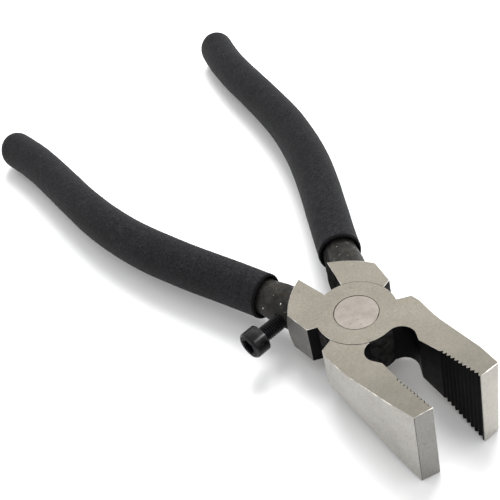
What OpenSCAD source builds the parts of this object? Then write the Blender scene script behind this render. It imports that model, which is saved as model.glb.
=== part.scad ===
// Running pliers for breaking scored glass: two lap-jointed levers on one rivet, wide serrated
// jaws, foam sleeves on the handles and a screw that limits how far the jaws close.
//
// Row frame: +Z is the pivot axis, the jaws point to -Y and the handles to +Y. The pliers lie open
// and level. The origin is on the ground below the middle of the whole outline.
// The right lever is the left lever turned half a turn about the long axis.

/* [Jaws] */
// Width of the jaws at their tips, along the pivot axis
jaw_w = 28; // [25:0.5:29]
// Distance from the pivot to the jaw tips
jaw_l = 44.9; // [43:0.1:47]
// Gap between the jaw tips as the pliers lie open
tip_gap = 15.2; // [14:0.2:16.4]
// Thickness of each jaw's flat end
tip_t = 5.8; // [5:0.1:6.4]
// Number of teeth on each jaw
teeth = 11; // [8:1:13]
// Depth of the grooves between the teeth
groove_d = 0.8; // [0.4:0.1:1]
// Radius of the round hollow behind the jaws
hollow_r = 4.3; // [3.9:0.1:4.5]

/* [Lap joint] */
// Thickness of the ground joint, both levers together
joint_t = 13.6; // [12.4:0.2:14.4]
// Radius of the disc that each lever laps over the other
disc_r = 12; // [11.6:0.1:12.3]
// Radius of the rivet's flush heads
rivet_head_r = 6.5; // [6:0.1:7]
// Radius of the rivet's shank
rivet_r = 4.5; // [4:0.1:5]
// Radial running clearance round the rivet in the right lever
rivet_gap = 0.05; // [0.02:0.01:0.1]
// Clearance between the lapped faces
lap_gap = 0.1; // [0.05:0.05:0.3]

/* [Handles] */
// Half width of the foam sleeve where it starts
grip_front_r = 6.8; // [6.4:0.1:7]
// Half width of the foam sleeve at the middle of the palm
grip_palm_r = 7; // [6.6:0.1:7.6]
// Half width of the foam sleeve at its closed end
grip_end_r = 6.4; // [6:0.1:7]
// Height of the sleeve compared with its width
grip_tall = 1.12; // [1:0.02:1.2]
// Thickness of the foam
foam_t = 1.8; // [1.4:0.1:2.2]
// Where the sleeves start, along the handle, as a fraction of its first curve
grip_start = 0.14; // [0.12:0.01:0.2]

/* [Stop screw] */
// Diameter of the screw's thread
screw_d = 5; // [4:1:5]
// Length of the screw under its head
screw_l = 20; // [18:1:21]
// Diameter of the screw's head
head_d = 8.5; // [7:0.1:9]
// Height of the screw's head
head_h = 5; // [4:0.1:5.2]
// Width across the flats of the hexagon socket
socket_w = 4; // [3:0.5:4]
// Distance from the handle's centre line to the underside of the screw's head
head_out = 13.8; // [12:0.1:15]

/* [Hidden] */
$fn = 96;

// Jaw outline of the left lever, whose jaw is on the +X side; the pivot is at 0, 0.
disc_gap = 0.35;
hollow_dir = -77.2;
hollow_c = (disc_r + hollow_r) * [cos(hollow_dir), sin(hollow_dir)];
hollow_exit = hollow_c + hollow_r * [cos(-22), sin(-22)];
tip_in = [tip_gap / 2, -jaw_l];
tip_out = tip_in + [tip_t, 0.7];
back_bend = [16.1, -8.1];
shoulder = [15.5, -5.4];
teeth_start = [6.95, -27.9];
flat_end = [6.2, -20.7];
flare_y = -15.5;
tip_bend = tip_out + [1.55, 8.2];
jaw_back = [10.1, -3];
mid = [0, -5.5];

// Root outline of the left lever, on the -X side: the face that is ground flat.
crotch = [-2.9, 11.3];
root_in = [-5.2, 22.1];
root_crown = [[-7.7, 20.9], [-9.9, 19.1], [-11.9, 17.2], [-13.8, 15.1]];
root_out = [-15.7, 12.2];
root_front = [-14.6, 3.8];
notch_in = [-10.1, 2.1];
root_bulge_in = 0.75;
root_bulge_out = 1.4;
mid_t = 3.3;

// Handle centre line: two cubic curves that share a tangent where they meet.
curve_1 = [[-9.5, 16.8], [-18.7, 45.9], [-33.6, 65.7], [-37.9, 100]];
curve_2 = [[-37.9, 100], [-40.5, 121.4], [-39.25, 136.3], [-43.9, 155.3]];
root_r = 6.2;
rod_front_r = 5.6;
dome_l = 5.8;
handle_end = curve_2[3][1] + dome_l;

pivot = [0, (jaw_l - handle_end) / 2, jaw_w / 2];
half_t = joint_t / 2;

// Screw: it crosses the left handle's centre line just behind the ground root.
screw_s = 0.022;
screw_turn = 10.4;
thread_gap = 0.05;

function bezier(c, t) =
    pow(1 - t, 3) * c[0] + 3 * pow(1 - t, 2) * t * c[1] + 3 * (1 - t) * t * t * c[2] + pow(t, 3) * c[3];
function slope(c, t) =
    3 * pow(1 - t, 2) * (c[1] - c[0]) + 6 * (1 - t) * t * (c[2] - c[1]) + 3 * t * t * (c[3] - c[2]);
function unit(v) = v / norm(v);

// A point and a direction on the handle's centre line, for s from 0 at the root to 2 at the end.
function centre(s) = s < 1 ? bezier(curve_1, s) : bezier(curve_2, s - 1);
function heading(s) = unit(s < 1 ? slope(curve_1, s) : slope(curve_2, s - 1));

// Half widths along the handle.
function grip_r(s) = lookup(s, [[0.2, grip_front_r], [0.65, grip_palm_r], [1.2, grip_end_r], [2, grip_end_r]]);
function rod_r(s) = s < 0.3
    ? lookup(s, [[0, root_r], [0.15, rod_front_r], [0.3, grip_front_r + 0.1 - foam_t]])
    : grip_r(s) - foam_t;
function rod_tall(s) = lookup(s, [[0, 1.04], [0.2, 1.05], [0.3, grip_tall]]);

// One oval ring across the handle at s, moved on by some length along it.
function ring(s, r, tall, on = 0, sides = 28) = [
    for (i = [0 : sides - 1])
        let (a = 360 * i / sides, h = heading(s), c = centre(s) + on * h)
            [c[0] + r * cos(a) * h[1], c[1] - r * cos(a) * h[0], r * tall * sin(a)]
];

// A closed skin over a list of rings that all have the same number of points.
module skin(rings) {
    n = len(rings[0]);
    m = len(rings);
    sides = [
        for (j = [0 : m - 2], i = [0 : n - 1])
            let (a = j * n + i, b = j * n + (i + 1) % n)
                each [[a, b + n, a + n], [a, b, b + n]]
    ];
    front = [for (i = [n - 1 : -1 : 0]) i];
    back = [for (i = [0 : n - 1]) (m - 1) * n + i];
    polyhedron(points = [for (r = rings) each r], faces = concat([front], sides, [back]));
}

module turn_over() {
    rotate([0, 180, 0]) children();
}

module groove_cuts() {
    step = (tip_in - teeth_start) / teeth;
    for (i = [1 : teeth - 1])
        translate(teeth_start + i * step) rotate(45) square(groove_d * sqrt(2), center = true);
}

module jaw_outline() {
    difference() {
        polygon([[0, 0], jaw_back, shoulder, back_bend, tip_bend, tip_out, tip_in, teeth_start, flat_end,
            hollow_exit, hollow_c, disc_r * unit(hollow_c), mid]);
        translate(hollow_c) circle(hollow_r);
        groove_cuts();
    }
}

// The jaw, which widens in a straight flare from the joint to its tip.
module jaw() {
    intersection() {
        translate([0, 0, -jaw_w / 2]) linear_extrude(jaw_w) jaw_outline();
        rotate([90, 0, 90]) linear_extrude(2 * jaw_l, center = true)
            polygon([[1, half_t], [flare_y, half_t], [-jaw_l, jaw_w / 2], [-jaw_l, -jaw_w / 2], [flare_y, -half_t],
                [1, -half_t]]);
    }
}

module root_outline(grow_in = 0, grow_out = 0) {
    polygon(concat([notch_in, crotch + grow_in * [0.4, 0.3], root_in + grow_in * [1, 0.6]],
        [for (p = root_crown) p + grow_out * [-0.7, 0.7]], [root_out + [0, grow_out * 1.4]], [root_front]));
}

// The forged root of the handle, rounded at half height and ground flat on its faces.
module root() {
    hull() {
        translate([0, 0, -half_t]) linear_extrude(joint_t) root_outline();
        translate([0, 0, -mid_t / 2]) linear_extrude(mid_t) root_outline(root_bulge_in, root_bulge_out);
    }
}

// The shank behind the root and the rod that runs on inside the sleeve.
module rod() {
    skin([for (i = [0 : 32]) let (s = i / 16) ring(s, rod_r(s), rod_tall(s))]);
}

// Everything of one lever that is clear of the lap joint, plus its own disc, which is the upper one.
module lever() {
    difference() {
        union() {
            jaw();
            root();
            rod();
            translate([0, 0, lap_gap / 2]) cylinder(r = disc_r, h = half_t - lap_gap / 2);
        }
        translate([0, 0, -half_t - 2]) cylinder(r = disc_r + disc_gap, h = half_t + 2 + lap_gap / 2);
    }
}

// The rivet, with a countersunk head formed flush at each end.
module rivet(grow = 0) {
    neck = 2.4;
    translate([0, 0, -half_t]) cylinder(r = rivet_r + grow, h = joint_t);
    translate([0, 0, half_t - neck]) cylinder(r1 = rivet_r + grow, r2 = rivet_head_r + grow, h = neck);
    translate([0, 0, -half_t]) cylinder(r1 = rivet_head_r + grow, r2 = rivet_r + grow, h = neck);
}

// Puts the screw's axis along +Z, pointing out of the handle, with z = 0 on the handle's centre line.
module at_screw() {
    translate(concat(centre(screw_s), [0])) rotate([0, -90, screw_turn]) children();
}

module left_lever() {
    color([0.69, 0.66, 0.6]) translate(pivot) difference() {
        lever();
        rivet();
        at_screw() cylinder(d = screw_d + 2 * thread_gap, h = 40, center = true);
    }
}

module right_lever() {
    color([0.66, 0.63, 0.58]) translate(pivot) difference() {
        turn_over() lever();
        rivet(rivet_gap);
    }
}

module pivot_rivet() {
    color([0.73, 0.69, 0.65]) translate(pivot) rivet();
}

// Foam sleeve: inside wall from its blind end to the open mouth, then outside to the domed end.
module grip() {
    front = grip_start;
    back = 2;
    steps = 24;
    at = [for (i = [0 : steps]) front + (back - front) * i / steps];
    inside = [for (i = [steps : -1 : 0]) ring(at[i], rod_r(at[i]), rod_tall(at[i]))];
    lip = [ring(front, grip_r(front) - 0.5, grip_tall, -0.3)];
    outside = [for (i = [0 : steps]) ring(at[i], grip_r(at[i]), grip_tall, i == 0 ? 0.4 : 0)];
    dome = [for (a = [20 : 20 : 80]) ring(back, grip_r(back) * cos(a), grip_tall, dome_l * sin(a))];
    skin(concat(inside, lip, outside, dome, [ring(back, 0.4, grip_tall, dome_l)]));
}

module left_grip() {
    color([0.13, 0.13, 0.14]) translate(pivot) grip();
}

module right_grip() {
    color([0.16, 0.16, 0.17]) translate(pivot) turn_over() grip();
}

module stop_screw() {
    color([0.08, 0.08, 0.09]) translate(pivot) at_screw() difference() {
        union() {
            translate([0, 0, head_out - screw_l]) cylinder(d = screw_d, h = screw_l + 1);
            translate([0, 0, head_out]) cylinder(d = head_d, h = head_h);
        }
        translate([0, 0, head_out + head_h / 2]) cylinder(d = socket_w / cos(30), h = head_h, $fn = 6);
    }
}

left_lever();
right_lever();
pivot_rivet();
left_grip();
right_grip();
stop_screw();
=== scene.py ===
"""Running pliers: two ground steel levers on a flush rivet, foam sleeves and a threaded stop screw.

Every solid is built in the lever's own frame, in millimetres, with the pivot at the origin, the jaw on +X, -Y
and the handle on -X, +Y. The right lever is the left one turned half a turn about Y. place() puts them into
the row frame.
"""
import math

import bmesh
import bpy
from mathutils import Matrix, Vector, geometry, noise


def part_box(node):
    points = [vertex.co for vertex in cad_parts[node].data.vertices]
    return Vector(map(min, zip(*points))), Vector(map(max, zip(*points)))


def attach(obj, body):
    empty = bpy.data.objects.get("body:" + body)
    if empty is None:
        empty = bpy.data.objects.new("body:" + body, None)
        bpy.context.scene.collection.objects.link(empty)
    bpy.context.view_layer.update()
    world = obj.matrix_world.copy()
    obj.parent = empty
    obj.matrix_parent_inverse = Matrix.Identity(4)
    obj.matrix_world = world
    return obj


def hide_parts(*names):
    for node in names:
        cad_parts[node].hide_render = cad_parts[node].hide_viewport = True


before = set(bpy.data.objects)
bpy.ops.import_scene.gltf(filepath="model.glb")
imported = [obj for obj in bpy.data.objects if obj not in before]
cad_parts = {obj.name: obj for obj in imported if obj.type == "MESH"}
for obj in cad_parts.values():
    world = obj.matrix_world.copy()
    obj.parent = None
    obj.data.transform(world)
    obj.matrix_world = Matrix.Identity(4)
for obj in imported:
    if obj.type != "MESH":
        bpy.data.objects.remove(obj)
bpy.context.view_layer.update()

MM = 0.001

# ---------------------------------------------------------------- sizes, from the frame where it has them
rivet_lo, rivet_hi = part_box("pivot_rivet")
lever_lo, lever_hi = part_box("left_lever")
PIVOT = (rivet_lo + rivet_hi) / 2
JOINT_T = (rivet_hi.z - rivet_lo.z) / MM
RIVET_HEAD_R = (rivet_hi.x - rivet_lo.x) / 2 / MM
RIVET_R = 4.5
RIVET_NECK = 2.4
RIVET_CLEAR = 0.05
RIVET_HAIRLINE = 0.11
RIVET_SUNK = 0.03
RIVET_RIM = 0.16
RIVET_SIDES = 160
JAW_W = (lever_hi.z - lever_lo.z) / MM
JAW_L = (PIVOT.y - lever_lo.y) / MM
HALF_T = JOINT_T / 2
DISC_R = 12
DISC_RIM = 0.1
DISC_SIDES = 192
DISC_GAP = 0.14
LAP_GAP = 0.1
LAP_SHIFT = Vector((0.04, -0.1, 0))
RIVET_SHIFT = Vector((-0.03, -0.03, 0))
HOLLOW_R = 4.3
HOLLOW_DIR = math.radians(-77.2)
HOLLOW_C = Vector((math.cos(HOLLOW_DIR), math.sin(HOLLOW_DIR))) * (DISC_R + HOLLOW_R)
HOLLOW_EXIT = math.radians(-22)
FLARE_Y = -15.5
FLARE_BLEND = 3
TIP_IN = Vector((7.6, -JAW_L))
TIP_OUT = TIP_IN + Vector((5.8, 0.7))
TEETH_START = Vector((6.95, -27.9))
TEETH = 11
GROOVE_DEPTH = 0.8
CREST = 0.2
LEFT_GRIND = [(27, 0), (36.5, 0.35), (44.2, 0.7)]
LEFT_LEAN = 0.68
RIGHT_GRIND = [(19, 0), (30, -0.3), (36.5, -0.5), (42, -0.1), (44.2, 0)]
CROTCH = Vector((-2.9, 11.3))
ROOT_IN = Vector((-5.2, 22.1))
ROOT_OUT = Vector((-15.7, 12.2))
ROOT_FRONT = Vector((-14.6, 3.8))
NOTCH_IN = Vector((-6.5, 0.74))
ROOT_MID = Vector((-8, 12))
ROOT_BEVEL = 0.14
ROOT_CROWN = 0.95
SWELL_IN = 0.75
SWELL_OUT = 1.4
CURVE_1 = [(-9.5, 16.8), (-18.7, 45.9), (-33.6, 65.7), (-37.9, 100)]
CURVE_2 = [(-37.9, 100), (-40.5, 121.4), (-39.25, 136.3), (-43.9, 155.3)]
SHANK_TALL = 1.06
ROD_START = 0.3
FOAM_T = 1.8
GRIP_START = 0.14
GRIP_TALL = 1.12
GRIP_SIDES = 72
LIP_L = 1.3
MOUTH_R = 5.85
DOME_L = 5.8
SCREW_S = 0.022
SCREW_TURN = math.radians(10.4)
SCREW_L = 20
HEAD_OUT = 13.8
HEAD_R = 4.25
HEAD_H = 5
HEAD_ROUND = 0.85
SOCKET_W = 4
SOCKET_DEPTH = 2.6
SOCKET_CHAMFER = 0.45
THREAD_R = 2.46
THREAD_DEPTH = 0.44
PITCH = 0.8
HOLE_R = 2.55
HOLE_REACH = 9
AXIS_R = 0.01

# ---------------------------------------------------------------- the camera, in metres from the pivot
CAMERA_PLACE = (-0.1041, -0.1902, 0.2404)
CAMERA_AIM = (-0.0067, 0.0496, 0.0)
CAMERA_ROLL = -14.38
LENS = 80.33
SENSOR = 36


# ---------------------------------------------------------------- the handle's centre line
def bezier(c, t):
    """The point at t, from 0 to 1, on the cubic curve with control points c."""
    a, b, d, e = (Vector(p) for p in c)
    return a * (1 - t) ** 3 + b * (3 * (1 - t) ** 2 * t) + d * (3 * (1 - t) * t * t) + e * t**3


def slope(c, t):
    """The derivative of bezier(c, t) by t."""
    a, b, d, e = (Vector(p) for p in c)
    return (b - a) * (3 * (1 - t) ** 2) + (d - b) * (6 * (1 - t) * t) + (e - d) * (3 * t * t)


def centre(s):
    """A point on the handle's centre line: s is 0 at the root, 1 where the curves meet, 2 near the end."""
    return bezier(CURVE_1, s) if s < 1 else bezier(CURVE_2, s - 1)


def heading(s):
    return (slope(CURVE_1, s) if s < 1 else slope(CURVE_2, s - 1)).normalized()


def lookup(x, table):
    """Straight-line interpolation in a table of (x, value)."""
    if x <= table[0][0]:
        return table[0][1]
    for (x0, y0), (x1, y1) in zip(table, table[1:]):
        if x <= x1:
            return y0 + (y1 - y0) * (x - x0) / (x1 - x0)
    return table[-1][1]


def grip_r(s):
    """Half the sleeve's width at s."""
    return lookup(s, [(0.2, 6.8), (0.65, 7.0), (1.2, 6.4), (2, 6.4)])


def rod_r(s):
    """Half the width of the shank at s, and of the rod inside the sleeve."""
    if s > ROD_START:
        return grip_r(s) - FOAM_T
    return lookup(s, [(-0.03, 5.9), (0.02, 6.15), (0.08, 6.0), (0.13, 5.5), (ROD_START, 5.04)])


def oval(s, r, tall, on=0.0):
    """One oval ring across the handle at s, moved on by some length along it."""
    c = centre(s) + heading(s) * on
    side = Vector((heading(s).y, -heading(s).x))
    ring = []
    for i in range(GRIP_SIDES):
        a = 2 * math.pi * i / GRIP_SIDES
        p = c + side * (r * math.cos(a))
        ring.append(Vector((p.x, p.y, r * tall * math.sin(a))))
    return ring


# ---------------------------------------------------------------- mesh helpers
def mesh_object(name, verts, faces):
    mesh = bpy.data.meshes.new(name)
    mesh.from_pydata([tuple(v) for v in verts], [], faces)
    mesh.validate()
    obj = bpy.data.objects.new(name, mesh)
    bpy.context.scene.collection.objects.link(obj)
    bm = bmesh.new()
    bm.from_mesh(mesh)
    bmesh.ops.recalc_face_normals(bm, faces=bm.faces)
    bm.to_mesh(mesh)
    bm.free()
    return obj


def ring_faces(count, n):
    """The quads between rings of n points, each joined to the next."""
    faces = []
    for j in range(count - 1):
        a, b = j * n, (j + 1) * n
        faces += [(a + i, a + (i + 1) % n, b + (i + 1) % n, b + i) for i in range(n)]
    return faces


def skin(name, rings):
    """A skin over rings of equal length, with both ends capped."""
    n = len(rings[0])
    count = len(rings)
    verts = [v for ring in rings for v in ring]
    faces = ring_faces(count, n)
    faces += [tuple(range(n)), tuple(range((count - 1) * n, count * n))]
    return mesh_object(name, verts, faces)


def lathe(name, profile, sides):
    """A solid of revolution about Z from a profile of (radius, z) that starts and ends near the axis."""
    rings = []
    for r, z in profile:
        angles = (2 * math.pi * i / sides for i in range(sides))
        rings.append([(r * math.cos(a), r * math.sin(a), z) for a in angles])
    return skin(name, rings)


def rounded_rim(r, z, radius, steps=3):
    """Profile points of a rounded outer rim, from the side wall to the flat face at z."""
    angles = (math.pi / 2 * k / steps for k in range(steps + 1))
    return [(r - radius * (1 - math.cos(a)), z - radius * (1 - math.sin(a))) for a in angles]


def combine(obj, tool, operation):
    """Joins obj with tool or cuts it by tool, which is used up."""
    mod = obj.modifiers.new("combine", "BOOLEAN")
    mod.operation = operation
    mod.solver = "EXACT"
    mod.object = tool
    graph = bpy.context.evaluated_depsgraph_get()
    made = bpy.data.meshes.new_from_object(obj.evaluated_get(graph))
    obj.modifiers.clear()
    obj.data = made
    bpy.data.objects.remove(tool)


# ---------------------------------------------------------------- the jaw
def fillet(corners):
    """Corners (x, y, edge, radius) to points (x, y, edge), with an arc at each corner that has a radius."""
    steps = 4
    points = []
    count = len(corners)
    for i, (x, y, edge, radius) in enumerate(corners):
        if not radius:
            points.append((x, y, edge))
            continue
        p = Vector((x, y))
        before = (Vector(corners[i - 1][:2]) - p).normalized()
        after = (Vector(corners[(i + 1) % count][:2]) - p).normalized()
        half = before.angle(after) / 2
        reach = radius / math.tan(half)
        mid = p + (before + after).normalized() * (radius / math.sin(half))
        start, end = p + before * reach - mid, p + after * reach - mid
        turn = start.angle_signed(end)
        for k in range(steps + 1):
            spoke = start.copy()
            spoke.rotate(Matrix.Rotation(-turn * k / steps, 2))
            points.append((*(mid + spoke), edge))
    return points


def tooth_corners():
    """The serrations from the tip back to the flat, as V grooves with a narrow worn crest between them."""
    edge = 0.05
    along = (TEETH_START - TIP_IN) / TEETH
    out = Vector((-along.y, along.x)).normalized()
    half = (along.length - CREST) / 2
    corners = []
    for i in range(1, TEETH):
        c = TIP_IN + along * i
        d = along.normalized() * half
        for p in (c - d, c - out * GROOVE_DEPTH, c + d):
            corners.append((*p, edge, 0))
    return corners


def jaw_points():
    """The jaw's outline, clockwise from the pivot, as (x, y, radius of the rim's rounding).

    A corner has a fourth value, the radius of its own arc, until fillet() has made the arcs.
    """
    arc = []
    steps = 22
    end = HOLLOW_DIR + math.pi
    for k in range(steps + 1):
        a = HOLLOW_EXIT + (end - HOLLOW_EXIT) * k / steps
        p = HOLLOW_C + HOLLOW_R * Vector((math.cos(a), math.sin(a)))
        arc.append((*p, 0.12, 0))
    corners = [
        (0, 0, 0.12, 0),
        (10.1, -3, 0.12, 0),
        (15.65, -5.2, 0.25, 0.35),
        (16.2, -8.2, 0.25, 3),
        (*(TIP_OUT + Vector((1.55, 8.2))), 0.28, 15),
        (*TIP_OUT, 0.25, 0.35),
        (*TIP_IN, 0.2, 0.3),
        *tooth_corners(),
        (*TEETH_START, 0.1, 0),
        (6.2, -20.7, 0.12, 0),
        *arc,
        (0, -5.5, 0.12, 0),
    ]
    points = fillet(corners)
    for y in crease_lines():
        points = cross_at(points, y)
    return points


def crease_lines():
    """Where the jaw's faces bend from the joint's thickness into the flare."""
    steps = 6
    return [FLARE_Y + FLARE_BLEND * (1 - 2 * k / steps) for k in range(steps + 1)]


def cross_at(points, y):
    """points with one more wherever the outline crosses y."""
    out = []
    for p, q in zip(points, points[1:] + points[:1]):
        out.append(p)
        if (p[1] - y) * (q[1] - y) < 0:
            t = (y - p[1]) / (q[1] - p[1])
            out.append((p[0] + (q[0] - p[0]) * t, y, p[2]))
    return out


def half_width(y):
    """Half the jaw's width at y: the joint's up to the flare, a soft bend, then a straight flare."""
    flare = (JAW_W / 2 - HALF_T) / (FLARE_Y + JAW_L)
    past = FLARE_Y + FLARE_BLEND - y
    if past <= 0:
        return HALF_T
    if past < 2 * FLARE_BLEND:
        return HALF_T + flare * past**2 / (4 * FLARE_BLEND)
    return HALF_T + flare * (FLARE_Y - y)


def inset(points, share):
    """The outline moved inwards, each point by its own edge radius times share."""
    out = []
    count = len(points)
    for i, (x, y, edge) in enumerate(points):
        p = Vector((x, y))
        into = (p - Vector(points[i - 1][:2])).normalized()
        away = (Vector(points[(i + 1) % count][:2]) - p).normalized()
        n1, n2 = Vector((into.y, -into.x)), Vector((away.y, -away.x))
        out.append(p + (n1 + n2) / max(0.35, 1 + n1.dot(n2)) * edge * share)
    return out


def cap_faces(outline, points):
    """Triangles over an outline, with its creases where the jaw's faces bend."""
    creases = [tuple(i for i, p in enumerate(points) if p[1] == y) for y in crease_lines()]
    faces = geometry.delaunay_2d_cdt(outline, creases, [list(range(len(outline)))], 1, 1e-7)
    if len(faces[0]) != len(outline):
        raise ValueError("the jaw's outline crosses itself")
    back = [o[0] for o in faces[3]]
    return [tuple(back[i] for i in f) for f in faces[2]]


def jaw():
    """The flared jaw: its outline in two sets of layers, which round the rims, with flat caps."""
    points = jaw_points()
    steps = 3
    rings = []
    for side in (-1, 1):
        layers = []
        for k in range(steps + 1):
            a = math.pi / 2 * k / steps
            flat = inset(points, 1 - math.cos(a))
            drop = 1 - math.sin(a)
            heights = [half_width(p.y) - q[2] * drop for p, q in zip(flat, points)]
            layers.append([(p.x, p.y, side * z) for p, z in zip(flat, heights)])
        rings += layers if side > 0 else layers[::-1]
    n = len(points)
    verts = [v for ring in rings for v in ring]
    faces = ring_faces(len(rings), n)
    cap = cap_faces(inset(points, 1), points)
    top = (len(rings) - 1) * n
    faces += [tuple(top + i for i in f) for f in cap]
    faces += [f[::-1] for f in cap]
    return mesh_object("jaw", verts, faces)


# ---------------------------------------------------------------- the forged root and shank
def unit_normal(a, b):
    """The unit normal on the right of the way from a to b."""
    way = (b - a).normalized()
    return Vector((way.y, -way.x))


def root():
    """The root of the handle as level layers of its outline, which swell towards the mid-plane.

    The first and last layers are drawn in a little, so that the flat faces have a fine bevel.
    """
    along = (ROOT_OUT - ROOT_FRONT).normalized()
    flank = unit_normal(CROTCH, ROOT_IN)
    back = unit_normal(ROOT_IN, ROOT_OUT)
    layers, steps = 16, 12
    rings = []
    levels = [HALF_T * (2 * k / layers - 1) for k in range(1, layers)]
    edge = HALF_T - ROOT_BEVEL
    for z in (-HALF_T, -edge, *levels, edge, HALF_T):
        swell = 1 - (z / HALF_T) ** 2
        outer = ROOT_OUT + along * SWELL_OUT * swell
        inner = ROOT_IN + flank * SWELL_IN * swell
        sag = ROOT_CROWN + swell
        ring = [NOTCH_IN, ROOT_FRONT]
        for i in range(steps + 1):
            t = i / steps
            ring.append(outer.lerp(inner, t) + back * sag * 4 * t * (1 - t))
        ring += [CROTCH + flank * SWELL_IN * swell, Vector((-1.5, 4))]
        pull = ROOT_BEVEL if abs(z) == HALF_T else 0
        ring = [p + (ROOT_MID - p).normalized() * pull for p in ring]
        rings.append([(p.x, p.y, z) for p in ring])
    return skin("root", rings)


def shank():
    """The round shank, which leaves the root and runs on as a rod inside the sleeve."""
    first, last, bare, covered = -0.03, 1.98, 30, 60
    places = [first + (ROD_START - first) * k / bare for k in range(bare)]
    places += [ROD_START + (last - ROD_START) * k / covered for k in range(covered + 1)]
    tall = [(0.2, SHANK_TALL), (ROD_START, GRIP_TALL)]
    return skin("shank", [oval(s, rod_r(s), lookup(s, tall)) for s in places])


# ---------------------------------------------------------------- a whole lever
def disc():
    low, high = -1, HALF_T
    profile = [(AXIS_R, low), (DISC_R, low), *rounded_rim(DISC_R, high, DISC_RIM), (AXIS_R, high)]
    return lathe("disc", profile, DISC_SIDES)


def lap_cut():
    """What the other lever's disc turns in."""
    r, low, high = DISC_R + DISC_GAP, -JAW_W, LAP_GAP / 2
    obj = lathe("lap_cut", [(AXIS_R, low), (r, low), (r, high), (AXIS_R, high)], DISC_SIDES)
    obj.data.transform(Matrix.Translation(LAP_SHIFT))
    return obj


def rivet_cut():
    """The countersunk hole, which leaves a hairline round the rivet's head."""
    shank = RIVET_R + RIVET_CLEAR
    flare = (RIVET_HEAD_R + RIVET_HAIRLINE - shank) / RIVET_NECK
    low, high = HALF_T - RIVET_NECK, HALF_T + 1
    r = shank + flare * (high - low)
    profile = [(AXIS_R, -high), (r, -high), (shank, -low), (shank, low), (r, high), (AXIS_R, high)]
    obj = lathe("rivet_cut", profile, RIVET_SIDES)
    obj.data.transform(Matrix.Translation(RIVET_SHIFT))
    return obj


def lever():
    obj = jaw()
    combine(obj, disc(), "UNION")
    combine(obj, root(), "UNION")
    combine(obj, shank(), "UNION")
    combine(obj, lap_cut(), "DIFFERENCE")
    combine(obj, rivet_cut(), "DIFFERENCE")
    return obj


def hand_grind(obj, amounts, lean=0.0):
    """Moves the jaw's outer side by a table of (mm from the pivot, mm outwards).

    The top edge moves in full. With a lean the move fades downwards, and past a lean of a half the
    bottom edge moves inwards.
    """
    for v in obj.data.vertices:
        if v.co.x > 10 and v.co.y < FLARE_Y:
            v.co.x += lookup(-v.co.y, amounts) * (1 - lean + lean * v.co.z / (JAW_W / 2))
    obj.data.update()


def screw_matrix():
    """Turns a solid's +Z to the screw's axis, pointing out of the handle, with z = 0 on the centre line."""
    p = centre(SCREW_S)
    turn = Matrix.Rotation(SCREW_TURN, 4, "Z") @ Matrix.Rotation(math.radians(-90), 4, "Y")
    return Matrix.Translation((p.x, p.y, 0)) @ turn


# ---------------------------------------------------------------- finishing
def place(obj, name, node, body, turned=False):
    """Moves a solid from the lever's frame to the row frame, as the piece that stands for a CAD node."""
    turn = Matrix.Rotation(math.pi, 4, "Y") if turned else Matrix.Identity(4)
    obj.data.transform(Matrix.Translation(PIVOT) @ Matrix.Scale(MM, 4) @ turn)
    obj.name = name
    obj.data.name = name
    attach(obj, body)
    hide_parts(node)


def shade(obj, angle):
    obj.data.shade_smooth()
    obj.data.set_sharp_from_angle(angle=math.radians(angle))


GROUND, FORGED, WORN_AND_HIGHLIGHT, INSIDE_AND_NOTCH_SHADE, ROOT_SIDE, DARK_EDGE, SIDE, END_PAINTED_SHADED, END_PAINTED_LIT, FLANK = range(10)


def lever_finish(c, n, turned):
    """Which finish a face has, from its centre c and its normal n in the lever's own frame."""
    side = -unit_normal(ROOT_FRONT, ROOT_OUT)
    top = half_width(c.y) if c.x > 0 else HALF_T
    rim_depth, flat_depth, near_disc, end_depth = 0.3, 0.02, 0.3, 0.8
    upright = abs(n.z) < 0.1
    in_rim = abs(n.z) > 0.1 and top - rim_depth < abs(c.z) < top - 0.015
    at_end = c.y < end_depth - JAW_L
    if abs(c.z) > top - flat_depth and abs(n.z) > 0.9:
        return GROUND
    # the rims: real wear, painted bright as a highlight
    if in_rim:
        return WORN_AND_HIGHLIGHT
    if math.hypot(c.x, c.y) < DISC_R + near_disc and upright:
        return FLANK
    if c.y < -5:
        outside = c.x > 12 and (n.x > 0.3 or n.y < -0.3) or at_end and n.y < -0.5
        # The vertical tip corner: darker on the right jaw, and bright on the left jaw as a painted highlight.
        if outside and at_end and 0.2 < n.x < 0.98:
            return DARK_EDGE if turned else WORN_AND_HIGHLIGHT
        # The jaws' ends: the left one painted lit, the right one painted shaded.
        if outside:
            return SIDE if n.y > -0.9 else END_PAINTED_SHADED if turned else END_PAINTED_LIT
        return INSIDE_AND_NOTCH_SHADE
    if c.x < 0 and abs((Vector(c[:2]) - ROOT_FRONT).dot(side)) < 0.03 and Vector(n[:2]).dot(side) > 0.95:
        return ROOT_SIDE
    # The wedge's notch wall: painted black as shade.
    if c.x < -4 and n.y < -0.8 and c.y < 6:
        return INSIDE_AND_NOTCH_SHADE
    if c.x < 0 and Vector(n[:2]).dot(unit_normal(CROTCH, ROOT_IN)) > 0.7:
        return FLANK
    return FORGED


def build_levers():
    base = lever()
    right = base.copy()
    right.data = base.data.copy()
    bpy.context.scene.collection.objects.link(right)
    profile = [(AXIS_R, -HOLE_REACH), (HOLE_R, -HOLE_REACH), (HOLE_R, HOLE_REACH), (AXIS_R, HOLE_REACH)]
    hole = lathe("hole", profile, 48)
    hole.data.transform(screw_matrix())
    combine(base, hole, "DIFFERENCE")
    hand_grind(base, LEFT_GRIND, LEFT_LEAN)
    hand_grind(right, RIGHT_GRIND)
    for obj in (base, right):
        for face in obj.data.polygons:
            face.material_index = lever_finish(face.center, face.normal, obj is right)
        shade(obj, 28)
        for make in LEVER_FINISHES:
            obj.data.materials.append(make())
    place(base, "left_forging", "left_lever", "left_half")
    place(right, "right_forging", "right_lever", "right_half", turned=True)


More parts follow.
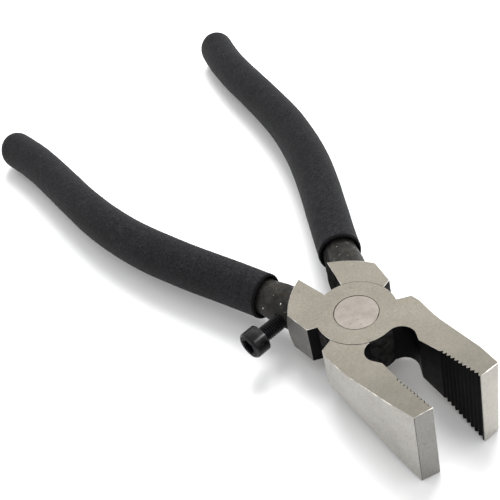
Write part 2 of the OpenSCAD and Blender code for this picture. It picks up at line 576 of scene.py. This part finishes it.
def build_rivet():
    """The rivet, a hair below the discs' faces and not quite round, with flanks painted black as shade in its
    hairline.
    """
    z = HALF_T - RIVET_SUNK
    top = rounded_rim(RIVET_HEAD_R, z, RIVET_RIM)
    bottom = [(a, -b) for a, b in reversed(top)]
    low = z - RIVET_NECK
    profile = [(AXIS_R, -z), *bottom, (RIVET_R, -low), (RIVET_R, low), *top, (AXIS_R, z)]
    obj = lathe("rivet", profile, RIVET_SIDES)
    for v in obj.data.vertices:
        shrink = max(0.0, 0.008 + 0.02 * noise.noise(v.co * 0.5))
        v.co.xy *= 1 - shrink if v.co.xy.length > RIVET_HEAD_R - 0.5 else 1
    shade(obj, 35)
    obj.data.materials.append(rivet_steel())
    obj.data.materials.append(jaw_black_and_shade())
    # the flanks show only in the hairline: painted black as its shade
    for face in obj.data.polygons:
        face.material_index = 1 if abs(face.normal.z) < 0.5 else 0
    place(obj, "flush_rivet", "pivot_rivet", "left_half")


def grip_bore():
    """The sleeve's bore as rings from its blind end to the mouth, then round the lip."""
    mouth, steps = GRIP_START + 0.02, 80
    rings = []
    play = [(mouth, 0.42), (0.2, 0.03)]
    for k in range(steps + 1):
        s = 2 + (mouth - 2) * k / steps
        rings.append(oval(s, rod_r(s) + lookup(s, play), GRIP_TALL))
    middle, lip = (grip_r(GRIP_START) + MOUTH_R) / 2, (grip_r(GRIP_START) - MOUTH_R) / 2
    for k in range(9):
        a = math.pi * k / 8
        back = LIP_L * (1 - math.sin(a))
        rings.append(oval(GRIP_START, middle - lip * math.cos(a), GRIP_TALL, back))
    return rings


def grip_skin():
    """The sleeve's outside as rings from behind the lip to the dome."""
    first, steps = GRIP_START + 0.016, 230
    places = [first + (2 - first) * k / steps for k in range(1, steps + 1)]
    rings = [oval(s, grip_r(s), GRIP_TALL) for s in places]
    for a in range(10, 90, 8):
        t = math.radians(a)
        rings.append(oval(2, grip_r(2) * math.cos(t), GRIP_TALL, DOME_L * math.sin(t)))
    rings.append(oval(2, 0.25, GRIP_TALL, DOME_L))
    return rings


def build_grip(name, node, body, turned, seed):
    """A foam sleeve, whose outside waves a little, differently for each seed."""
    bore, rings = grip_bore(), grip_skin()
    broad_wave, fine_wave, sunk = 0.09, 0.035, 0.08
    for row in rings:
        middle = sum(row, Vector()) / len(row)
        for i, v in enumerate(row):
            broad = noise.noise(v * 0.11 + Vector((seed, 0, 0)))
            fine = noise.noise(v * 0.7 + Vector((0, seed, 0)))
            out = (v - middle).normalized()
            row[i] = v + out * (broad_wave * broad + fine_wave * fine - sunk)
    obj = skin("grip", bore + rings)
    for mat in (foam(), foam_cut_shade()):
        obj.data.materials.append(mat)
    # the bore and lip get the darker foam, as painted shade
    for face in obj.data.polygons:
        face.material_index = int(max(face.vertices) < (len(bore) - 1) * GRIP_SIDES)
    shade(obj, 60)
    place(obj, name, node, body, turned)


def thread_rings(z0, z1):
    """Rings of a helical thread on a shaft: the radius follows a rounded V along the helix."""
    rings = []
    sides = 64
    steps = int((z1 - z0) / PITCH * 10)
    for j in range(steps + 1):
        z = z0 + (z1 - z0) * j / steps
        ease = min(1.0, (z - z0) / 0.8, (z1 - z) / 0.3 + 0.2)
        row = []
        for i in range(sides):
            a = 2 * math.pi * i / sides
            phase = (z / PITCH - a / (2 * math.pi)) % 1
            ridge = min(1.0, max(0.0, abs(phase - 0.5) * 2.5 - 0.15))
            point = 0.35 * max(0.0, 1 - (z - z0) / 0.5)
            r = THREAD_R - THREAD_DEPTH * (1 - ridge) * ease - point
            row.append((r * math.cos(a), r * math.sin(a), z))
        rings.append(row)
    return rings


def build_screw():
    """The screw, built along +Z and then turned into place: head, hexagon socket and threaded shaft."""
    shaft = skin("shaft", thread_rings(HEAD_OUT - SCREW_L, HEAD_OUT + 0.4))
    low, high = HEAD_OUT, HEAD_OUT + HEAD_H
    profile = [(AXIS_R, low), (HEAD_R - 0.25, low), (HEAD_R, low + 0.2)]
    profile += [*rounded_rim(HEAD_R, high, HEAD_ROUND, steps=6), (AXIS_R, high)]
    head = lathe("head", profile, 96)
    socket_r = SOCKET_W / math.sqrt(3)
    mouth_r = socket_r + SOCKET_CHAMFER
    floor_z = high - SOCKET_DEPTH
    rings = [
        hexagon(mouth_r, high + 1),
        hexagon(mouth_r, high + 0.01),
        hexagon(socket_r, high - SOCKET_CHAMFER),
        hexagon(socket_r, floor_z),
        hexagon(0.2, floor_z - 1),
    ]
    combine(head, skin("socket", rings), "DIFFERENCE")
    combine(head, shaft, "UNION")
    # the face and socket get the head's black painted darker as shade
    for face in head.data.polygons:
        inner = math.hypot(face.center.x, face.center.y) < mouth_r - 0.1 or face.normal.z > 0.95
        face.material_index = 1 if face.center.z < low - 0.05 else 2 if inner else 0
    head.data.transform(screw_matrix())
    shade(head, 32)
    for mat in (screw_black(), thread_black(), socket_shade_black()):
        head.data.materials.append(mat)
    place(head, "socket_screw", "stop_screw", "stop_screw")


def hexagon(r, z):
    angles = (math.radians(60 * i + 12) for i in range(6))
    return [(r * math.cos(a), r * math.sin(a), z) for a in angles]


# ---------------------------------------------------------------- materials
class Nodes:
    """A material's node tree, with short ways to add to it."""

    def __init__(self, name):
        self.material = bpy.data.materials.new(name)
        self.material.use_nodes = True
        self.tree = self.material.node_tree
        self.shader = self.tree.nodes["Principled BSDF"]
        self.place = self.add("ShaderNodeTexCoord").outputs["Object"]

    def add(self, kind, **values):
        node = self.tree.nodes.new(kind)
        for key, value in values.items():
            if hasattr(node, key):
                setattr(node, key, value)
            else:
                node.inputs[key.replace("_", " ")].default_value = value
        return node

    def link(self, source, target):
        self.tree.links.new(source, target)

    def noise(self, scale, detail, roughness, stretch=None, turn=(0, 0, 0)):
        """A noise field in the row frame, in cycles a metre, drawn out by stretch."""
        source = self.place
        if stretch:
            mapping = self.add("ShaderNodeMapping")
            mapping.inputs["Scale"].default_value = stretch
            mapping.inputs["Rotation"].default_value = turn
            self.link(source, mapping.inputs["Vector"])
            source = mapping.outputs["Vector"]
        node = self.add("ShaderNodeTexNoise", Scale=scale, Detail=detail, Roughness=roughness)
        self.link(source, node.inputs["Vector"])
        return node.outputs["Fac"]

    def along(self, direction, start, stop):
        """Runs from 0 to 1 along a direction, between two distances from the pivot."""
        away = self.add("ShaderNodeVectorMath", operation="SUBTRACT")
        away.inputs[1].default_value = PIVOT
        self.link(self.place, away.inputs[0])
        reach = self.add("ShaderNodeVectorMath", operation="DOT_PRODUCT")
        reach.inputs[1].default_value = Vector(direction).normalized()
        self.link(away.outputs["Vector"], reach.inputs[0])
        level = self.add("ShaderNodeMapRange", From_Min=start, From_Max=stop)
        self.link(reach.outputs["Value"], level.inputs["Value"])
        return level.outputs["Result"]

    def ramp(self, source, stops):
        """A colour ramp over (position, grey or colour)."""
        node = self.add("ShaderNodeValToRGB")
        elements = node.color_ramp.elements
        while len(elements) < len(stops):
            elements.new(0.5)
        for element, (position, colour) in zip(elements, stops):
            element.position = position
            element.color = (*colour, 1) if isinstance(colour, tuple) else (colour, colour, colour, 1)
        self.link(source, node.inputs["Fac"])
        return node.outputs["Color"]

    def mix(self, factor, a, b, blend="MIX"):
        node = self.add("ShaderNodeMix", data_type="RGBA", blend_type=blend)
        for value, index in ((factor, 0), (a, 6), (b, 7)):
            if hasattr(value, "is_linked"):
                self.link(value, node.inputs[index])
            elif isinstance(value, tuple):
                node.inputs[index].default_value = (*value, 1)
            else:
                node.inputs[index].default_value = value
        return node.outputs[2]

    def bump(self, height, distance, strength, under=None):
        node = self.add("ShaderNodeBump", Distance=distance, Strength=strength)
        self.link(height, node.inputs["Height"])
        if under is not None:
            self.link(under, node.inputs["Normal"])
        return node.outputs["Normal"]

    def colour(self, source):
        self.link(source, self.shader.inputs["Base Color"])

    def roughness(self, source):
        self.link(source, self.shader.inputs["Roughness"])

    def normal(self, source):
        self.link(source, self.shader.inputs["Normal"])

    def set(self, name, value):
        self.shader.inputs[name].default_value = value


MADE = {}


def once(make):
    """Makes a material the first time it is asked for."""

    def wrapped():
        if make.__name__ not in MADE:
            MADE[make.__name__] = make()
        return MADE[make.__name__]

    return wrapped


def satin(name, dark, light, smooth=0.5, metal=0.8, scratch=0.35, grain=0.12, tip_shade=1.0):
    """Satin ground steel: scratches both ways, a speckled grain, clouds, small stains, and painted shade that
    darkens it towards the tips.
    """
    m = Nodes(name)
    along = m.noise(900, 4, 0.65, stretch=(1, 14, 1), turn=(0, 0, 0.5))
    across = m.noise(700, 3, 0.6, stretch=(12, 1, 2), turn=(0, 0.5, scratch))
    cloud = m.noise(110, 4, 0.6)
    speckle = m.noise(1500, 3, 0.7)
    spots = m.noise(420, 2, 0.5)
    base = m.ramp(cloud, [(0.3, dark), (0.7, light)])
    for field, low, high in ((along, 0.9, 1.08), (across, 0.9, 1.08), (speckle, 1 - grain, 1 + grain)):
        base = m.mix(1.0, base, m.ramp(field, [(0.3, low), (0.7, high)]), "MULTIPLY")
    # painted shade: the colour darkens towards the jaw tips
    if tip_shade < 1:
        to_tips = m.along((-0.41, -0.91, 0), 0.013, 0.042)
        base = m.mix(1.0, base, m.ramp(to_tips, [(0, 1.0), (1, tip_shade)]), "MULTIPLY")
    stain = m.ramp(spots, [(0.7, 0.0), (0.78, 0.45)])
    m.colour(m.mix(stain, base, tuple(0.55 * v for v in dark)))
    m.roughness(m.ramp(across, [(0.3, smooth - 0.04), (0.7, smooth + 0.1)]))
    m.set("Metallic", metal)
    m.normal(m.bump(across, 0.00002, 0.5, m.bump(speckle, 0.00003, 0.5)))
    return m.material


@once
def ground_steel():
    # the tops carry painted shade towards the jaw tips
    return satin("ground_steel", (0.23, 0.213, 0.176), (0.268, 0.248, 0.208), tip_shade=0.76)


@once
def side_steel():
    """The jaws' outer sides, ground on a coarser belt."""
    return satin("side_steel", (0.345, 0.332, 0.305), (0.395, 0.382, 0.355), 0.58, 0.5, 1.0)


@once
def end_painted_lit():
    """The left jaw's end, painted bright as a highlight; it is the same ground steel as the right jaw's end.
    """
    return satin("end_painted_lit", (0.39, 0.372, 0.335), (0.44, 0.422, 0.382), 0.55, 0.5, grain=0.07)


@once
def root_side():
    """The root's flat side, which was ground less finely."""
    return satin("root_side", (0.135, 0.131, 0.122), (0.19, 0.186, 0.174), 0.55)


@once
def end_painted_shaded():
    """The right jaw's end, painted darker than its sides as shade."""
    return satin("end_painted_shaded", (0.225, 0.22, 0.204), (0.255, 0.25, 0.233), 0.55, 0.6, grain=0.07)


@once
def dark_edge():
    """A darker edge, on the right jaw's vertical tip corner."""
    m = Nodes("dark_edge")
    edge_patches = m.noise(300, 4, 0.6)
    m.colour(m.ramp(edge_patches, [(0.4, (0.09, 0.084, 0.08)), (0.7, (0.18, 0.17, 0.155))]))
    m.roughness(m.ramp(edge_patches, [(0.3, 0.4), (0.7, 0.55)]))
    m.set("Metallic", 0.8)
    return m.material


@once
def worn_edge_and_highlight():
    """Edges rubbed bright, and painted brighter still as a highlight along the rims."""
    m = Nodes("worn_edge_and_highlight")
    edge_patches = m.noise(250, 4, 0.6)
    # painted highlight: the bright end of the ramp stands in for the rims' gleam, over patchy wear
    m.colour(m.ramp(edge_patches, [(0.45, (0.34, 0.325, 0.295)), (0.6, (0.8, 0.78, 0.73))]))
    m.roughness(m.ramp(edge_patches, [(0.3, 0.45), (0.7, 0.3)]))
    m.set("Metallic", 0.9)
    m.normal(m.bump(edge_patches, 0.00003, 0.4))
    return m.material


@once
def jaw_black_and_shade():
    """The jaws' inside: deep black oxide, with a dull blue gloss. Also used as painted shade on the wedge's
    notch wall and in the rivet's hairline.
    """
    m = Nodes("jaw_black_and_shade")
    scale = m.noise(380, 4, 0.6)
    m.colour(m.ramp(scale, [(0.35, (0.001, 0.001, 0.0013)), (0.7, (0.003, 0.003, 0.0038))]))
    m.roughness(m.ramp(scale, [(0.3, 0.38), (0.7, 0.55)]))
    m.set("Specular IOR Level", 0.05)
    m.normal(m.bump(scale, 0.0001, 0.4))
    return m.material


@once
def forged_black():
    """Blackened forged steel: scaly, olive grey to black, with rusty hollows and a few bare worn specks
    painted bright as glints.
    """
    m = Nodes("forged_black")
    scale = m.noise(420, 5, 0.68)
    patch = m.noise(150, 3, 0.5)
    pits = m.noise(1300, 3, 0.6)
    glints = m.noise(800, 3, 0.55)
    base = m.ramp(scale, [(0.34, (0.007, 0.0069, 0.0064)), (0.68, (0.026, 0.0252, 0.0225))])
    rust = m.ramp(patch, [(0.56, 0.0), (0.7, 0.22)])
    base = m.mix(rust, base, (0.05, 0.032, 0.02))
    # bare worn specks, painted bright as glints
    bare = m.ramp(glints, [(0.69, 0.0), (0.73, 0.9)])
    m.colour(m.mix(bare, base, (0.5, 0.49, 0.46)))
    m.roughness(m.ramp(pits, [(0.3, 0.32), (0.7, 0.6)]))
    m.set("Metallic", 0.12)
    m.set("Specular IOR Level", 0.1)
    m.normal(m.bump(pits, 0.00006, 0.6, m.bump(scale, 0.0003, 0.6)))
    return m.material


@once
def scale_black():
    """The root's inner flank: dry black scale."""
    m = Nodes("scale_black")
    scale = m.noise(420, 5, 0.68)
    m.colour(m.ramp(scale, [(0.36, (0.007, 0.0068, 0.0068)), (0.66, (0.036, 0.0345, 0.0335))]))
    m.set("Roughness", 0.9)
    m.set("Specular IOR Level", 0.0)
    m.normal(m.bump(scale, 0.0003, 0.6))
    return m.material


@once
def rivet_steel():
    """The rivet's ground head: a little pinker than the lever, with tiny pits."""
    m = Nodes("rivet_steel")
    grain = m.noise(800, 4, 0.6, stretch=(1, 10, 1), turn=(0, 0, 1.1))
    pits = m.noise(900, 2, 0.5)
    cloud = m.noise(260, 3, 0.6)
    base = m.ramp(grain, [(0.3, (0.29, 0.261, 0.231)), (0.7, (0.334, 0.302, 0.269))])
    base = m.mix(1.0, base, m.ramp(cloud, [(0.3, 0.84), (0.65, 1.08)]), "MULTIPLY")
    hollow = m.ramp(pits, [(0.66, 0.0), (0.74, 0.5)])
    m.colour(m.mix(hollow, base, (0.15, 0.125, 0.105)))
    m.roughness(m.ramp(grain, [(0.3, 0.4), (0.7, 0.52)]))
    m.set("Metallic", 0.85)
    m.normal(m.bump(grain, 0.00002, 0.5))
    return m.material


@once
def foam():
    """Black closed-cell foam: a skin of fine cells, mottled and matte, with a soft bloom."""
    m = Nodes("foam")
    cells = m.add("ShaderNodeTexVoronoi", Scale=2400.0)
    m.link(m.place, cells.inputs["Vector"])
    mottle = m.noise(420, 4, 0.6)
    bloom = m.noise(45, 3, 0.5)
    pores = m.noise(1700, 2, 0.6)
    dust = m.noise(1250, 2, 0.4)
    base = m.ramp(mottle, [(0.3, (0.0045, 0.0045, 0.0052)), (0.7, (0.0115, 0.0115, 0.0131))])
    base = m.mix(1.0, base, m.ramp(bloom, [(0.35, 0.85), (0.7, 1.12)]), "MULTIPLY")
    base = m.mix(1.0, base, m.ramp(pores, [(0.35, 0.4), (0.65, 1.65)]), "MULTIPLY")
    m.colour(m.mix(m.ramp(dust, [(0.7, 0.0), (0.8, 0.6)]), base, (0.06, 0.06, 0.064)))
    m.roughness(m.ramp(mottle, [(0.3, 0.78), (0.7, 0.92)]))
    m.set("Specular IOR Level", 0.14)
    m.set("Sheen Weight", 0.03)
    m.set("Sheen Roughness", 0.5)
    m.normal(m.bump(cells.outputs["Distance"], 0.00018, 0.45, m.bump(mottle, 0.0004, 0.3)))
    return m.material


@once
def foam_cut_shade():
    """The sleeve's cut front end and its inside, painted darker than its skin as shade on the lip."""
    m = Nodes("foam_cut_shade")
    cells = m.noise(1500, 4, 0.65)
    m.colour(m.ramp(cells, [(0.3, (0.002, 0.002, 0.0023)), (0.7, (0.007, 0.007, 0.0078))]))
    m.set("Roughness", 0.9)
    m.set("Specular IOR Level", 0.08)
    m.normal(m.bump(cells, 0.0003, 0.5))
    return m.material


@once
def screw_black():
    """The screw's head: smooth black oxide, slightly oiled, rubbed grey in patches."""
    m = Nodes("screw_black")
    scuff = m.noise(300, 4, 0.6, stretch=(1, 1, 0.5))
    m.colour(m.ramp(scuff, [(0.45, (0.002, 0.0022, 0.0028)), (0.66, (0.017, 0.0165, 0.0165))]))
    m.roughness(m.ramp(scuff, [(0.3, 0.17), (0.7, 0.28)]))
    m.set("Specular IOR Level", 0.17)
    m.normal(m.bump(scuff, 0.00005, 0.35))
    return m.material


@once
def socket_shade_black():
    """The head's face and socket: the head's black, painted darker as shade."""
    m = Nodes("socket_shade_black")
    scuff = m.noise(500, 4, 0.6)
    # painted shade: darker than the head's black
    m.colour(m.ramp(scuff, [(0.35, (0.002, 0.002, 0.0026)), (0.7, (0.006, 0.0063, 0.0078))]))
    m.roughness(m.ramp(scuff, [(0.3, 0.25), (0.7, 0.4)]))
    m.set("Specular IOR Level", 0.02)
    m.normal(m.bump(scuff, 0.00005, 0.35))
    return m.material


@once
def thread_black():
    """The screw's thread: the same black, dry and full of dirt, with painted shade that darkens it towards
    the lever.
    """
    m = Nodes("thread_black")
    dirt = m.noise(700, 4, 0.6)
    # painted shade: darker where the thread goes into the lever
    shade_to_lever = m.ramp(m.along((1, 0.18, 0), -0.0205, -0.0145), [(0, 1.0), (1, 0.2)])
    base = m.ramp(dirt, [(0.35, (0.003, 0.003, 0.0035)), (0.7, (0.01, 0.01, 0.0115))])
    m.colour(m.mix(1.0, base, shade_to_lever, "MULTIPLY"))
    m.roughness(m.ramp(dirt, [(0.3, 0.3), (0.7, 0.5)]))
    m.set("Specular IOR Level", 0.14)
    m.normal(m.bump(dirt, 0.00005, 0.4))
    return m.material


def floor_material():
    m = Nodes("floor")
    m.set("Base Color", (0.76, 0.76, 0.765, 1))
    m.set("Roughness", 0.7)
    m.set("Specular IOR Level", 0.2)
    return m.material


LEVER_FINISHES = (
    ground_steel,
    forged_black,
    worn_edge_and_highlight,
    jaw_black_and_shade,
    root_side,
    dark_edge,
    side_steel,
    end_painted_shaded,
    end_painted_lit,
    scale_black,
)


# ---------------------------------------------------------------- floor, camera and light
def build_floor():
    """The pliers rest on the jaw tips' lower edges and the sleeves' ends, so the floor leans a little."""
    rise = JAW_W / 2 - grip_r(2) * GRIP_TALL
    run = JAW_L + CURVE_2[3][1]
    lean = math.atan2(rise, run)
    size, below = 3.0, 0.0002
    bpy.ops.mesh.primitive_plane_add(size=size)
    floor = bpy.context.object
    floor.name = "floor"
    tip = Vector((0, PIVOT.y - JAW_L * MM, -below))
    floor.matrix_world = Matrix.Translation(tip) @ Matrix.Rotation(lean, 4, "X")
    floor.data.materials.append(floor_material())


def look_from(obj, place, aim, roll=0.0):
    """Points a camera or lamp from place to aim, both measured from the pivot."""
    obj.location = PIVOT + Vector(place)
    turn = (Vector(aim) - Vector(place)).to_track_quat("-Z", "Y")
    obj.rotation_mode = "QUATERNION"
    obj.rotation_quaternion = turn @ Matrix.Rotation(math.radians(roll), 3, "Z").to_quaternion()


def build_camera():
    data = bpy.data.cameras.new("camera")
    data.sensor_width = SENSOR
    data.lens = LENS
    data.clip_start = 0.01
    data.clip_end = 20
    camera = bpy.data.objects.new("camera", data)
    bpy.context.scene.collection.objects.link(camera)
    look_from(camera, CAMERA_PLACE, CAMERA_AIM, CAMERA_ROLL)
    bpy.context.scene.camera = camera


def area_lamp(name, place, aim, size, power, gloss=False):
    """A lamp that either lights matte surfaces and casts shadows, or only shows as a gleam."""
    data = bpy.data.lights.new(name, "AREA")
    data.shape = "SQUARE"
    data.size = size
    data.energy = power
    lamp = bpy.data.objects.new(name, data)
    bpy.context.scene.collection.objects.link(lamp)
    look_from(lamp, place, aim)
    lamp.visible_glossy = gloss
    lamp.visible_diffuse = not gloss


def build_world():
    """A white room, brighter above and behind the pliers than in front of them."""
    world = bpy.data.worlds.new("world")
    bpy.context.scene.world = world
    world.use_nodes = True
    tree = world.node_tree
    place = tree.nodes.new("ShaderNodeTexCoord")
    toward = tree.nodes.new("ShaderNodeVectorMath")
    toward.operation = "DOT_PRODUCT"
    toward.inputs[1].default_value = Vector((0.35, 0.65, 0.67)).normalized()
    level = tree.nodes.new("ShaderNodeMapRange")
    level.inputs["From Min"].default_value = -0.7
    level.inputs["From Max"].default_value = 1.0
    level.inputs["To Min"].default_value = 0.7
    level.inputs["To Max"].default_value = 1.65
    background = tree.nodes["Background"]
    background.inputs["Color"].default_value = (1, 1, 1, 1)
    tree.links.new(place.outputs["Generated"], toward.inputs[0])
    tree.links.new(toward.outputs["Value"], level.inputs["Value"])
    tree.links.new(level.outputs["Result"], background.inputs["Strength"])


def build_light():
    bpy.context.scene.view_settings.view_transform = "Standard"
    build_world()
    area_lamp("key", (0.3, 0.36, 0.68), (0, 0.05, 0), 0.45, 9)
    area_lamp("gleam", (0.36, -0.37, 0.61), (-0.03, 0.01, 0), 0.14, 3, gloss=True)


build_levers()
build_rivet()
build_grip("left_sleeve", "left_grip", "left_half", False, 3.1)
build_grip("right_sleeve", "right_grip", "right_half", True, 8.7)
build_screw()
build_floor()
build_camera()
build_light()
